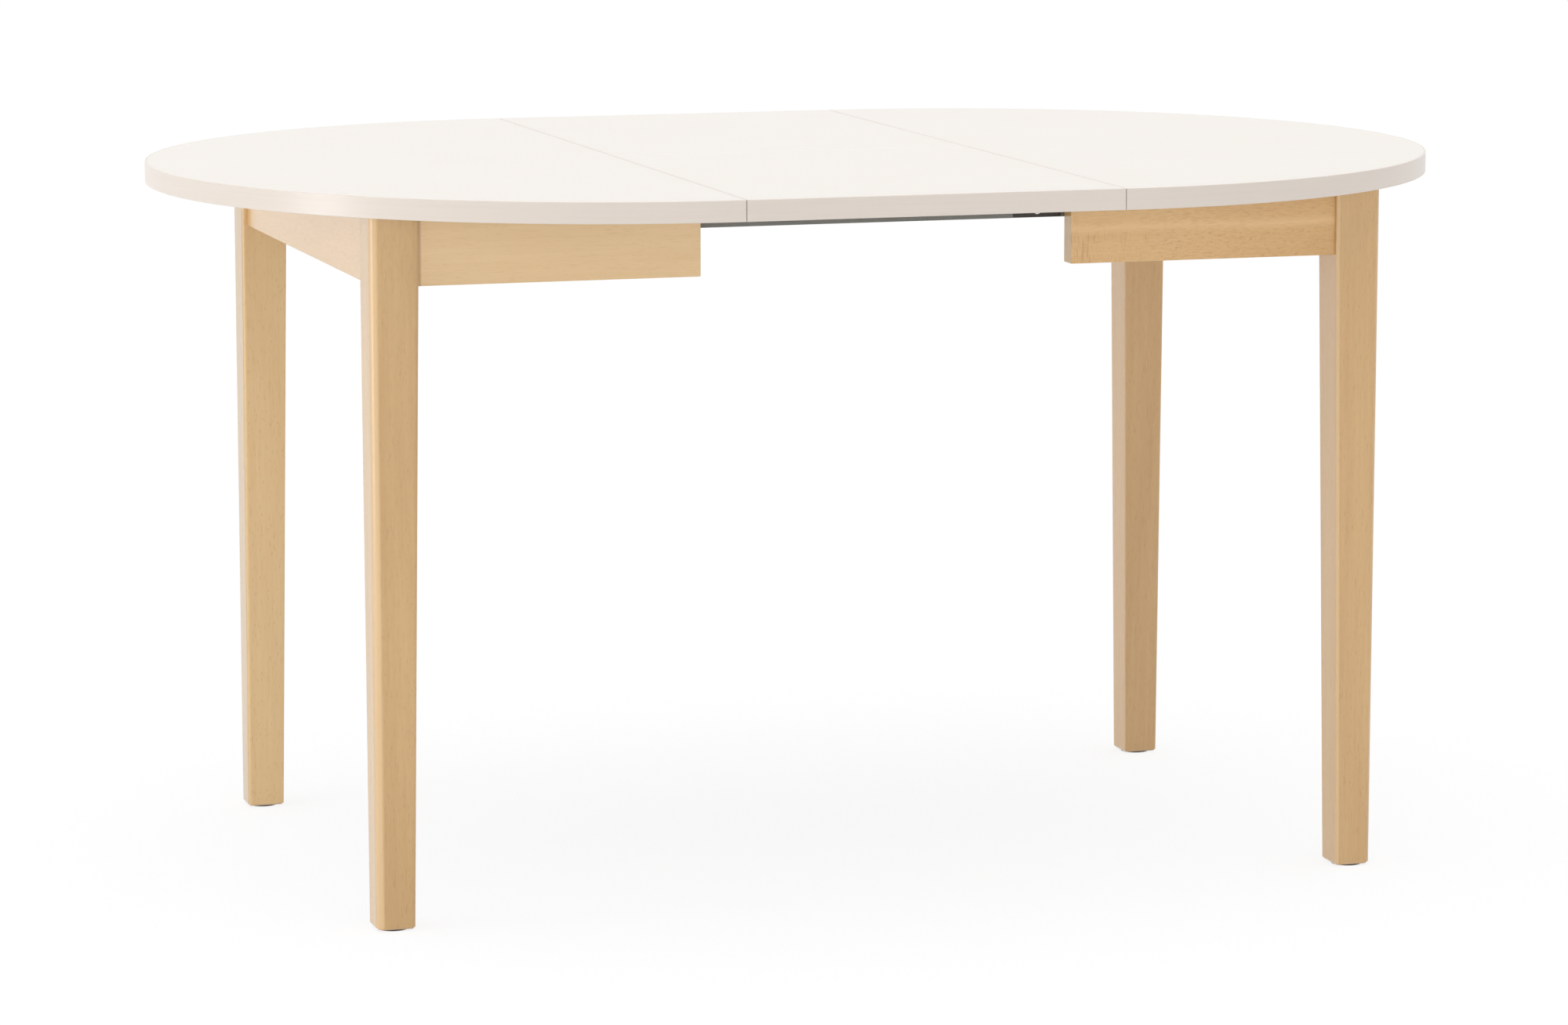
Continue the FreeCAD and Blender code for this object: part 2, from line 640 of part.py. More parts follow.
def wing():
    """Rear wing of the leaf: board, band round it, hinge barrels in its fold edge and pads under it."""
    fold_edge = FOLD_GAP / 2
    b = BAND_THICKNESS
    slab = block(-half_leaf, half_leaf, fold_edge, radius, underside, TABLE_HEIGHT)
    slab = eased(slab, BAND_ROUNDING, lambda c: not near(c.y, fold_edge))
    core = block(-half_leaf + b, half_leaf - b, fold_edge + b, radius - b, underside, TABLE_HEIGHT)
    middle = (underside + TABLE_HEIGHT) / 2
    bores = []
    barrels = []
    half_width = BARREL_SLOT / 2
    half_height = BARREL_SLOT_HEIGHT / 2
    slot_end = fold_edge + BARREL_SLOT_DEPTH
    for x in (-BARREL_SPACING, 0, BARREL_SPACING):
        bore = rod(BARREL_RADIUS, Vec(x, fold_edge, middle), Vec(x, fold_edge + BARREL_LENGTH, middle))
        slot = block(
            x - half_width, x + half_width, fold_edge, slot_end, middle - half_height, middle + half_height)
        bores.append(bore)
        barrels.append(bore.cut(slot))
    pad_y = -rail_front - RAIL_WIDTH / 2
    pad = rod(PAD_RADIUS, Vec(PAD_X, pad_y, rail_high), Vec(PAD_X, pad_y, underside))
    return drilled(core, bores), drilled(slab.cut(core), bores), barrels, right_and_left([pad])


def wing_bracket():
    """Right bracket under the rear wing: a flange screwed to the board and a plate for the two pivots."""
    inner_x = bracket_x - BRACKET_SHEET
    plate = pivot_plate(inner_x, bracket_x, pivot_y, pivot_z, BRACKET_MARGIN, underside)
    flange_x = bracket_x - BRACKET_FLANGE
    flange_z = underside - BRACKET_FLANGE_SHEET
    guide_y = pivot_y - GUIDE_SPACING
    front_y = guide_y - BRACKET_MARGIN
    rear_y = pivot_y + BRACKET_MARGIN
    flange = block(flange_x, bracket_x, front_y, rear_y, flange_z, underside)
    screw_x = flange_x + BRACKET_SCREW_INSET
    screws = [pan_screw(Vec(screw_x, y, flange_z), Vec(0, 0, 1)) for y in (guide_y, pivot_y)]
    swing_head = swing_arm_x - PIN_END_GAP
    guide_head = guide_arm_x + ARM_SHEET + PIN_END_GAP
    swing_pin = pivot_pin(pivot_y, bracket_x, swing_head, swing_head - PIN_HEAD)
    guide_pin = pivot_pin(guide_y, inner_x, guide_head, guide_head + PIN_HEAD)
    pins = [swing_pin, guide_pin]
    return drilled(fused(plate, flange), screws + pins), screws, pins


def pivot_pin(y, tail_x, head_x, end_x):
    """Pin held in the wing bracket at its tail, with a head past the arm that turns on it."""
    shank = rod(PIN_RADIUS, Vec(tail_x, y, pivot_z), Vec(head_x, y, pivot_z))
    return fused(shank, rod(PIN_HEAD_RADIUS, Vec(head_x, y, pivot_z), Vec(end_x, y, pivot_z)))


def make_leaf():
    """The leaf: two wings that fold face to face, the rear one on the arms."""
    board, band, barrels, pads = wing()
    bracket, screws, pins = wing_bracket()
    bracket_screws = right_and_left(screws)
    nodes["rear_wing_board"] = [drilled(board, bracket_screws)]
    nodes["rear_wing_band"] = [band]
    nodes["rear_hinge_barrels"] = barrels
    nodes["rear_rest_pads"] = pads
    nodes["wing_brackets"] = right_and_left([bracket])
    nodes["wing_bracket_screws"] = bracket_screws
    nodes["wing_pivot_pins"] = right_and_left(pins)
    nodes["front_wing_board"] = [to_rear(board)]
    nodes["front_wing_band"] = [to_rear(band)]
    nodes["front_hinge_barrels"] = [to_rear(s) for s in barrels]
    nodes["front_rest_pads"] = [to_rear(s) for s in pads]


make_halves()
make_carriage()
make_arms()
make_leaf()

os.makedirs("parts", exist_ok=True)
for name, shapes in nodes.items():
    shape = shapes[0] if len(shapes) == 1 else Part.makeCompound(shapes)
    shape.exportStep("parts/" + name + ".step")

print("nodes", len(nodes))
print("arm shaft at y", round(base_y, 3), "z", round(base_z, 3))
print("wing pivot at y", round(pivot_y, 3), "z", round(pivot_z, 3))
print("fold line at z", round(fold_z, 3))
print("swing in degrees", round(degrees(stow_angle - rest_angle), 4))
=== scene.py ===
"""Looks of a round extension table with a butterfly leaf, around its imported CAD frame.

Frame: metres, origin on the floor under the middle of the table, X along its length, -Y its front, Z up.
"""

import json
from math import cos, pi, radians, sin

import bpy
import numpy as np
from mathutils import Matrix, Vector

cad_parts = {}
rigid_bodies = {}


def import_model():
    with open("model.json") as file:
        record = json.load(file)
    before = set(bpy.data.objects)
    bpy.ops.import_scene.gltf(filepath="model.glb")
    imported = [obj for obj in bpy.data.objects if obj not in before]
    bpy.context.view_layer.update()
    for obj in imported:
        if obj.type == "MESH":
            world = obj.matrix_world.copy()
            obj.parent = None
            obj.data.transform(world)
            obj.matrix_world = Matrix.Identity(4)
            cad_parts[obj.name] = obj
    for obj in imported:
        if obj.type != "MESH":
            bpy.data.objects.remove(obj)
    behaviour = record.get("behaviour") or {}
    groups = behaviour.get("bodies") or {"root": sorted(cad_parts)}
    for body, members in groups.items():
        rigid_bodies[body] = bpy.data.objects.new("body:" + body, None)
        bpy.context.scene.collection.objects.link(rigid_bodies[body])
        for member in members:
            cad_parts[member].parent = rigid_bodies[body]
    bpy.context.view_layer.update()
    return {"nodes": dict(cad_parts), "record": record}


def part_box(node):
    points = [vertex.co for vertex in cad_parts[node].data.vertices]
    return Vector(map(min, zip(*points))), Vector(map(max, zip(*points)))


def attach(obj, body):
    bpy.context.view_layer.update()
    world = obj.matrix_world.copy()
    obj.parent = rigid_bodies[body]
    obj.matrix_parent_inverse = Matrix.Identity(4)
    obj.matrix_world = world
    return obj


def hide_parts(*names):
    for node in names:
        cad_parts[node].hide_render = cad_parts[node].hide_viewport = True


for leftover in list(bpy.data.objects):
    bpy.data.objects.remove(leftover)
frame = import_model()
scene = bpy.context.scene
MM = 0.001
X, Y, Z = range(3)
DIAGONAL = sin(pi / 4)       # what a way at 45 degrees has on each of its two axes

# Camera, at the photograph's viewing angle: it looks at a point on the table's middle plane
CAMERA_AZIMUTH = -17.086
CAMERA_ELEVATION = 8.884
CAMERA_DISTANCE = 6.1073
CAMERA_TARGET = Vector((-0.0083, 0.0, 0.3583))
CAMERA_LENS = 128.035
SENSOR_WIDTH = 36.0

# Floor and light
FLOOR_HALF = 30.0
FLOOR_BOUNCE = 0.85          # what the floor gives back to the table
FLOOR_GLOW = 0.86            # what the camera sees of the floor in full shade
FLOOR_SHADE = 0.135          # how much of the light and shade on it shows
SKY_STRENGTH = 0.5
WIDE_LIGHTS = {
    "front_light": {"azimuth": 8.0, "elevation": 6.0, "spread": 35.0, "strength": 0.52},
    "left_light": {"azimuth": -86.0, "elevation": 4.0, "spread": 50.0, "strength": 0.56},
    "overhead_light": {"azimuth": -30.0, "elevation": 86.0, "spread": 70.0, "strength": 1.75},
}
SOFTBOX_PLACE = Vector((-3.0, -0.36, 0.75))
SOFTBOX_AIM = Vector((-0.5, -0.2, 0.6))
SOFTBOX_SIZE = (0.62, 1.6)
SOFTBOX_WATTS = 12.6

# Grain of beech in millimetres: width across the grain and length along it
BEECH_TONE = (34.0, 420.0)
BEECH_GRAIN = (4.2, 150.0)
BEECH_PORE = (1.3, 15.0)     # real pores are a tenth as wide: drawn coarse enough to show
BEECH_FLECK = (2.2, 9.0)
SAW_MARK = 5.5               # planer marks across a raw block

# How far faces of beech go towards another tone, as shares: the darker end grain, and painted light and
# shade on legs and side aprons
# share of painted light and shade on the legs' faces that look along X
SIDE_LIGHT_SHARE = 0.35
# share of the painted highlight on the legs' rounded corners
CORNER_HIGHLIGHT_SHARE = 0.62
END_TONE = 0.6
# share of the painted shadow where an apron meets its leg
JOINT_SHADOW_SHARE = 0.5

# Figure of the quarter-sawn apron in millimetres
RAY_LINE = (1.1, 13.0)       # ray flecks, which stand across the grain
RAY_GROUP = (24.0, 30.0)
RAY_TOP = 688.0              # they are plainest below this height
RAY_EDGE = 6.0               # height over which they turn faint above it
RAY_FADE = (275.0, 320.0)    # along X, from where they are plain to where they end
GRAIN_DASH = (1.2, 9.0)      # short dashes, plainest where the rays end
COMMA_MARK = (1.3, 4.5)      # small dark marks between them
COMMA_SLANT = 18.0           # in degrees
STREAK_HEIGHT = 698.0        # pale streak along the board
STREAK_HALF = 7.0
STREAK_BEND = 60.0           # length of one of its bends
STREAK_DRIFT = 6.0           # height that its bends take up

# Where the aprons meet the legs
LEG_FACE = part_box("right_front_leg")[0].x
JOINT_SHADOW_WIDTH = 4.2             # width of the painted shadow beside the leg in millimetres

# Fine relief of the other finishes in millimetres
LAMINATE_PEARL = 1.6         # a real pearl grain is a third of this: drawn coarse enough to show
LAMINATE_CLOUD = 90.0
BAND_LINE = (140.0, 2.2)     # lines that an extrusion leaves along the band: length and height
FOLD_COVER = 2.4             # laminate over the band each side of the fold
FOLD_EDGE = 0.2              # width over which the cover ends
COATING_PEEL = 1.1           # orange peel of a powder coating
PLATING_CLOUD = 3.5
PLATING_GRAIN = 0.8
BRASS_CLOUD = 3.5
MOULD_GRAIN = 0.8
MOULD_CLOUD = 8.0
LATHE_LINE = 0.7
WAVE_PERIOD = 2 * pi / 20    # of a wave texture at scale 1

# Sockets of a Mix node between colours
SHARE = 0
FIRST = 6
SECOND = 7
MIXED = 2

# Fasteners in millimetres, of the CAD's sizes. Depth is measured from the head's seat, the way it goes in.
TURN_STEPS = 48
THREAD_STEPS = 6             # rings to one turn of a thread
THREAD_CUT = 0.22            # depth of a thread, as a share of the shank's radius
SCREW_HEAD = 4.0
SCREW_RISE = 2.0
SCREW_CROWN = 2.7            # flat middle of a round head
CROWN_RINGS = 6              # rings from there to the head's rim
SCREW_SHANK = 2.0
SCREW_LENGTH = 14.0
SCREW_PITCH = 1.8
SCREW_TIP = 0.1
CHANNEL_SCREWS = 3           # to one side of a half
CROSS_REACH = 2.2
CROSS_DEPTH = 1.3
CROSS_TAPER = 0.6            # the recess's floor, as a share of its mouth
CROSS_ARM = pi / 12          # half the angle that the end of an arm spans
LEAST_SINE = 0.01            # keeps the side of an arm finite along the arm's middle
BOLT_HEAD = 5.0
BOLT_RISE = 1.8
BOLT_EASING = 0.5
BOLT_SHANK = 3.0
BOLT_PITCH = 1.0
BAR_BOLT_LENGTH = 18.0
PLATE_BOLT_LENGTH = 12.0
SOCKET_FLATS = 4.0
SOCKET_DEPTH = 1.1
SOCKET_TAPER = 0.97
HANGER_SHANK = 4.0
HANGER_EASING = 0.8          # of its free end
HANGER_PITCH = 1.25
HANGER_TAIL = 8.5            # from the nut's seat to the bolt's free end
HANGER_WOOD = 35.0           # coarse thread in the leg
HANGER_WOOD_PITCH = 3.2
HANGER_TIP = 0.2
NUT_FLATS = 13.0
NUT_HEIGHT = 6.5
NUT_FACE = 6.2               # round face inside the chamfer
NUT_CHAMFER = pi / 6
WASHER_RADIUS = 11.0
WASHER_HEIGHT = 1.6
WASHER_HOLE = 4.25
WASHER_EASING = 0.3
CRISP_EDGE = 35.0            # degrees between faces, above which an edge stays sharp


def srgb(code):
    """Linear colour of an sRGB hex value."""
    channels = [int(code[i:i + 2], 16) / 255 for i in (1, 3, 5)]
    linear = [c / 12.92 if c <= 0.04045 else ((c + 0.055) / 1.055) ** 2.4 for c in channels]
    return (*linear, 1.0)


def add(tree, kind, inputs=None, **settings):
    """Adds a node: inputs are its sockets' values or what feeds them, settings its properties.

    A node feeds another by its first output, and a Mix node by its colour.
    """
    node = tree.nodes.new("ShaderNode" + kind)
    for name, value in settings.items():
        setattr(node, name, value)
    for key, value in (inputs or {}).items():
        if isinstance(value, bpy.types.Node):
            value = value.outputs[MIXED if value.bl_idname == "ShaderNodeMix" else 0]
        if isinstance(value, bpy.types.NodeSocket):
            tree.links.new(value, node.inputs[key])
        else:
            node.inputs[key].default_value = value
    return node


def new_material(name):
    """Empty material with its tree, and the coordinates of its surface."""
    material = bpy.data.materials.new(name)
    material.use_nodes = True
    tree = material.node_tree
    tree.nodes.clear()
    return material, tree, add(tree, "TexCoord").outputs


def sized(tree, where, width, length=None, along=X):
    """Coordinates that make a pattern so many millimetres wide, and so many long on one axis."""
    scale = [1 / (width * MM)] * 3
    if length:
        scale[along] = 1 / (length * MM)
    return add(tree, "Mapping", {"Vector": where, "Scale": scale})


def toned_face(tree, normal, axis, colour, tone, amount):
    """Colour that goes towards a tone on the faces that look along an axis, either way."""
    face = add(tree, "SeparateXYZ", {0: normal}).outputs
    facing = add(tree, "Math", {0: face[axis]}, operation="ABSOLUTE")
    share = add(tree, "MapRange", {"Value": facing, "From Min": 0.8, "From Max": 0.97, "To Max": amount})
    return add(tree, "Mix", {SHARE: share, FIRST: colour, SECOND: srgb(tone)}, data_type="RGBA")


def painted_corner_highlight(tree, normal, colour, tone):
    """Colour with a painted highlight: paler on upright corners that look to the front left or the rear
    right.

    There the normal's X and Y have one sign, so their product is above 0, and it is greatest at 45 degrees.
    """
    face = add(tree, "SeparateXYZ", {0: normal}).outputs
    between = add(tree, "Math", {0: face[X], 1: face[Y]}, operation="MULTIPLY")
    share = add(tree, "MapRange", {
        "Value": between, "From Min": 0.12, "From Max": 0.35, "To Max": CORNER_HIGHLIGHT_SHARE})
    return add(tree, "Mix", {SHARE: share, FIRST: colour, SECOND: srgb(tone)}, data_type="RGBA")


def painted_joint_shadow(tree, where, colour):
    """Colour with a painted shadow: a dark line at an apron's ends, where it meets the leg."""
    at = add(tree, "SeparateXYZ", {0: where}).outputs
    reach = add(tree, "Math", {0: at[X]}, operation="ABSOLUTE")
    line = add(tree, "MapRange", {
        "Value": reach, "From Min": LEG_FACE - JOINT_SHADOW_WIDTH * MM, "From Max": LEG_FACE - JOINT_SHADOW_WIDTH / 2 * MM,
        "To Max": JOINT_SHADOW_SHARE})
    return add(tree, "Mix", {SHARE: line, FIRST: colour, SECOND: srgb("#8C682A")}, data_type="RGBA")


def end_grain(tree, normal, along, colour):
    """Colour with the darker, greyer tone of beech where a face cuts across the grain."""
    return toned_face(tree, normal, along, colour, "#B28A47", END_TONE)


def beech_grain(tree, where, along, pale, deep, flecked=0.3):
    """Colour of planed beech, and its pores: soft bands, short dark pores and small ray flecks."""
    tone = add(tree, "TexNoise", {
        "Vector": sized(tree, where, *BEECH_TONE, along), "Scale": 1.0, "Detail": 3.0})
    grain = add(tree, "TexNoise", {
        "Vector": sized(tree, where, *BEECH_GRAIN, along), "Scale": 1.0, "Detail": 4.0})
    pores = add(tree, "TexNoise", {
        "Vector": sized(tree, where, *BEECH_PORE, along), "Scale": 1.0, "Detail": 3.0})
    bands = add(tree, "Math", {0: grain, 1: 0.45, 2: -0.22}, operation="MULTIPLY_ADD")
    tones = add(tree, "Math", {0: tone, 1: 0.9, 2: bands}, operation="MULTIPLY_ADD")
    dark_pores = add(tree, "MapRange", {"Value": pores, "From Min": 0.56, "From Max": 0.74})
    shade = add(tree, "Math", {0: dark_pores, 1: 0.4, 2: tones}, operation="MULTIPLY_ADD", use_clamp=True)
    wood = add(tree, "Mix", {SHARE: shade, FIRST: srgb(pale), SECOND: srgb(deep)}, data_type="RGBA")
    flecks = add(tree, "TexVoronoi", {"Vector": sized(tree, where, *BEECH_FLECK, along), "Scale": 1.0})
    chance = add(tree, "SeparateColor", {0: flecks.outputs["Color"]})
    kept = add(tree, "MapRange", {"Value": chance, "From Min": 0.66, "From Max": 0.68})
    speck = add(tree, "MapRange", {
        "Value": flecks.outputs["Distance"], "From Min": 0.3, "From Max": 0.12, "To Max": flecked})
    specks = add(tree, "Math", {0: speck, 1: kept}, operation="MULTIPLY")
    flecked_wood = add(tree, "Mix", {SHARE: specks, FIRST: wood, SECOND: srgb("#A97F50")}, data_type="RGBA")
    return flecked_wood, pores


def quarter_figure(tree, where, wood):
    """Figure of a quarter-sawn board: upright ray flecks in groups, then short dashes and small dark marks.

    Towards its leg the board is deeper in tone, and a pale streak bends along it.
    """
    at = add(tree, "SeparateXYZ", {0: where}).outputs
    low = add(tree, "MapRange", {
        "Value": at[Z], "From Min": (RAY_TOP + RAY_EDGE) * MM, "From Max": RAY_TOP * MM, "To Min": 0.3})
    fade = add(tree, "MapRange", {
        "Value": at[X], "From Min": RAY_FADE[0] * MM, "From Max": RAY_FADE[1] * MM,
        "To Min": 0.46, "To Max": 0.06})
    grow = add(tree, "MapRange", {
        "Value": at[X], "From Min": RAY_FADE[0] * MM, "From Max": RAY_FADE[1] * MM,
        "To Min": 0.2, "To Max": 0.42})
    deeper = add(tree, "MapRange", {
        "Value": at[X], "From Min": RAY_FADE[1] * MM, "From Max": LEG_FACE, "To Max": 0.5})
    toned = add(tree, "Mix", {SHARE: deeper, FIRST: wood, SECOND: srgb("#C59347")}, data_type="RGBA")

    ray_noise = add(tree, "TexNoise", {
        "Vector": sized(tree, where, *RAY_LINE, Z), "Scale": 1.0, "Detail": 2.0})
    ray_lines = add(tree, "MapRange", {"Value": ray_noise, "From Min": 0.52, "From Max": 0.64})
    group_noise = add(tree, "TexNoise", {
        "Vector": sized(tree, where, *RAY_GROUP, Z), "Scale": 1.0, "Detail": 1.0})
    groups = add(tree, "MapRange", {"Value": group_noise, "From Min": 0.4, "From Max": 0.62})
    grouped = add(tree, "Math", {0: ray_lines, 1: groups}, operation="MULTIPLY")
    low_fade = add(tree, "Math", {0: low, 1: fade}, operation="MULTIPLY")
    rays = add(tree, "Math", {0: grouped, 1: low_fade}, operation="MULTIPLY")
    rayed = add(tree, "Mix", {SHARE: rays, FIRST: toned, SECOND: srgb("#A97839")}, data_type="RGBA")

    dash_noise = add(tree, "TexNoise", {
        "Vector": sized(tree, where, *GRAIN_DASH), "Scale": 1.0, "Detail": 2.0})
    dash_lines = add(tree, "MapRange", {"Value": dash_noise, "From Min": 0.46, "From Max": 0.66})
    dashes = add(tree, "Math", {0: dash_lines, 1: grow}, operation="MULTIPLY")
    dashed = add(tree, "Mix", {SHARE: dashes, FIRST: rayed, SECOND: srgb("#BC8A4A")}, data_type="RGBA")

    turned = add(tree, "Mapping", {"Vector": where, "Rotation": (0.0, radians(COMMA_SLANT), 0.0)})
    comma_noise = add(tree, "TexNoise", {
        "Vector": sized(tree, turned, *COMMA_MARK), "Scale": 1.0, "Detail": 1.0})
    comma_marks = add(tree, "MapRange", {"Value": comma_noise, "From Min": 0.64, "From Max": 0.72})
    low_grow = add(tree, "Math", {0: low, 1: grow}, operation="MULTIPLY")
    commas = add(tree, "Math", {0: comma_marks, 1: low_grow}, operation="MULTIPLY")
    marked = add(tree, "Mix", {SHARE: commas, FIRST: dashed, SECOND: srgb("#99692F")}, data_type="RGBA")

    bends = add(tree, "TexNoise", {"Vector": sized(tree, where, STREAK_BEND), "Scale": 1.0, "Detail": 1.0})
    height = add(tree, "Math", {0: bends, 1: STREAK_DRIFT * MM, 2: at[Z]}, operation="MULTIPLY_ADD")
    off = add(tree, "Math", {0: height, 1: (STREAK_HEIGHT + STREAK_DRIFT / 2) * MM}, operation="SUBTRACT")
    away = add(tree, "Math", {0: off}, operation="ABSOLUTE")
    streak = add(tree, "MapRange", {
        "Value": away, "From Min": STREAK_HALF * MM, "From Max": 0.0, "To Max": 0.4})
    return add(tree, "Mix", {SHARE: streak, FIRST: marked, SECOND: srgb("#EFC992")}, data_type="RGBA")


def lacquered_beech(name, along, pale, deep, flecked=0.12, figured=False, side_light_and_shade=None, corners=None,
                    joint_shadowed=False):
    """Beech, planed, sanded and clear-lacquered.

    The eye sees soft bands and short dark pores along the grain. The satin lacquer is a clear coat, which
    whitens a face that is seen at a slant and draws a bright line along a rounded corner. A leg's faces
    that look along X can take painted light or shade, standing in for how the lamps fall on them, and its
    rounded front-left and rear-right corners can take a paler painted highlight. A side apron can have a
    painted shadow as a dark line beside its leg.
    """
    material, tree, place = new_material(name)
    wood, pores = beech_grain(tree, place["Object"], along, pale, deep, flecked)
    if figured:
        wood = quarter_figure(tree, place["Object"], wood)
    if side_light_and_shade:
        wood = toned_face(tree, place["Normal"], X, wood, side_light_and_shade, SIDE_LIGHT_SHARE)
    if corners:
        wood = painted_corner_highlight(tree, place["Normal"], wood, corners)
    if joint_shadowed:
        wood = painted_joint_shadow(tree, place["Object"], wood)
    rough = add(tree, "MapRange", {
        "Value": pores, "From Min": 0.3, "From Max": 0.7, "To Min": 0.4, "To Max": 0.52})
    relief = add(tree, "Bump", {"Height": pores, "Strength": 0.1, "Distance": 0.1 * MM})
    shader = add(tree, "BsdfPrincipled", {
        "Base Color": end_grain(tree, place["Normal"], along, wood), "Roughness": rough, "Normal": relief,
        "IOR": 1.5, "Coat Weight": 1.0, "Coat Roughness": 0.2})
    add(tree, "OutputMaterial", {"Surface": shader})
    return material


def raw_beech(name, along):
    """Beech block, sawn and planed but not lacquered: dull, paler, with planer marks across the grain."""
    material, tree, place = new_material(name)
    wood, pores = beech_grain(tree, place["Object"], along, "#DCC29C", "#C7A67A")
    marks = add(tree, "TexWave", {
        "Vector": place["Object"], "Scale": WAVE_PERIOD / (SAW_MARK * MM), "Distortion": 1.0},
        bands_direction="XYZ"[along])
    height = add(tree, "Math", {0: marks.outputs["Fac"], 1: 0.6, 2: pores}, operation="MULTIPLY_ADD")
    rough = add(tree, "MapRange", {
        "Value": pores, "From Min": 0.3, "From Max": 0.7, "To Min": 0.66, "To Max": 0.8})
    relief = add(tree, "Bump", {"Height": height, "Strength": 0.3, "Distance": 0.15 * MM})
    shader = add(tree, "BsdfPrincipled", {
        "Base Color": end_grain(tree, place["Normal"], along, wood), "Roughness": rough, "Normal": relief,
        "IOR": 1.5})
    add(tree, "OutputMaterial", {"Surface": shader})
    return material


def melamine_laminate():
    """Melamine laminate, pressed against a fine matt plate: even warm white with a faint pearl grain.

    Its underside is the plain backing sheet, which is a little greyer.
    """
    material, tree, place = new_material("melamine_laminate")
    pearl = add(tree, "TexNoise", {
        "Vector": sized(tree, place["Object"], LAMINATE_PEARL), "Scale": 1.0, "Detail": 3.0})
    cloud = add(tree, "TexNoise", {
        "Vector": sized(tree, place["Object"], LAMINATE_CLOUD), "Scale": 1.0, "Detail": 2.0})
    clouded = add(tree, "Mix", {
        SHARE: cloud, FIRST: srgb("#EAE6E1"), SECOND: srgb("#E9E4DE")}, data_type="RGBA")
    grains = add(tree, "MapRange", {"Value": pearl, "From Min": 0.35, "From Max": 0.75, "To Max": 0.5})
    pearled = add(tree, "Mix", {SHARE: grains, FIRST: clouded, SECOND: srgb("#E4DFD9")}, data_type="RGBA")
    face = add(tree, "SeparateXYZ", {0: place["Normal"]}).outputs
    under = add(tree, "MapRange", {"Value": face[Z], "From Min": -0.5, "From Max": -0.9})
    colour = add(tree, "Mix", {SHARE: under, FIRST: pearled, SECOND: srgb("#DFDCD6")}, data_type="RGBA")
    rough = add(tree, "MapRange", {
        "Value": pearl, "From Min": 0.3, "From Max": 0.7, "To Min": 0.7, "To Max": 0.78})
    relief = add(tree, "Bump", {"Height": pearl, "Strength": 0.25, "Distance": 0.03 * MM})
    shader = add(tree, "BsdfPrincipled", {
        "Base Color": colour, "Roughness": rough, "Normal": relief, "IOR": 1.45})
    add(tree, "OutputMaterial", {"Surface": shader})
    return material


def abs_edge_band():
    """ABS edge band, extruded: satin, with faint lines along it. At the fold the laminate covers it."""
    material, tree, place = new_material("abs_edge_band")
    lines = add(tree, "TexNoise", {
        "Vector": sized(tree, place["Object"], *BAND_LINE, Z), "Scale": 1.0, "Detail": 3.0})
    streaks = add(tree, "MapRange", {"Value": lines, "From Min": 0.3, "From Max": 0.7})
    lined = add(tree, "Mix", {
        SHARE: streaks, FIRST: srgb("#DDD3C9"), SECOND: srgb("#DBD0C6")}, data_type="RGBA")
    at = add(tree, "SeparateXYZ", {0: place["Object"]}).outputs
    to_fold = add(tree, "Math", {0: at[Y]}, operation="ABSOLUTE")
    near_fold = add(tree, "MapRange", {
        "Value": to_fold, "From Min": (FOLD_COVER + FOLD_EDGE) * MM, "From Max": FOLD_COVER * MM})
    face = add(tree, "SeparateXYZ", {0: place["Normal"]}).outputs
    level = add(tree, "MapRange", {"Value": face[Z], "From Min": 0.9, "From Max": 0.98})
    cover = add(tree, "Math", {0: level, 1: near_fold}, operation="MULTIPLY")
    colour = add(tree, "Mix", {SHARE: cover, FIRST: lined, SECOND: srgb("#E9E4DE")}, data_type="RGBA")
    relief = add(tree, "Bump", {"Height": lines, "Strength": 0.02, "Distance": 0.01 * MM})
    shader = add(tree, "BsdfPrincipled", {
        "Base Color": colour, "Roughness": 0.28, "Normal": relief, "IOR": 1.53})
    add(tree, "OutputMaterial", {"Surface": shader})
    return material


def coated_steel(name, colour, second, rough):
    """Powder-coated steel: even paint with the baked coat's soft orange peel and fine darker grains."""
    material, tree, place = new_material(name)
    peel = add(tree, "TexNoise", {
        "Vector": sized(tree, place["Object"], COATING_PEEL), "Scale": 1.0, "Detail": 2.0})
    dust = add(tree, "TexNoise", {
        "Vector": sized(tree, place["Object"], COATING_PEEL / 2), "Scale": 1.0, "Detail": 1.0})
    grains = add(tree, "MapRange", {"Value": dust, "From Min": 0.4, "From Max": 0.7})
    paint = add(tree, "Mix", {SHARE: grains, FIRST: srgb(colour), SECOND: srgb(second)}, data_type="RGBA")
    uneven = add(tree, "MapRange", {
        "Value": peel, "From Min": 0.3, "From Max": 0.7, "To Min": rough - 0.06, "To Max": rough + 0.06})
    relief = add(tree, "Bump", {"Height": peel, "Strength": 0.35, "Distance": 0.05 * MM})
    shader = add(tree, "BsdfPrincipled", {
        "Base Color": paint, "Roughness": uneven, "Normal": relief, "IOR": 1.5})
    add(tree, "OutputMaterial", {"Surface": shader})
    return material


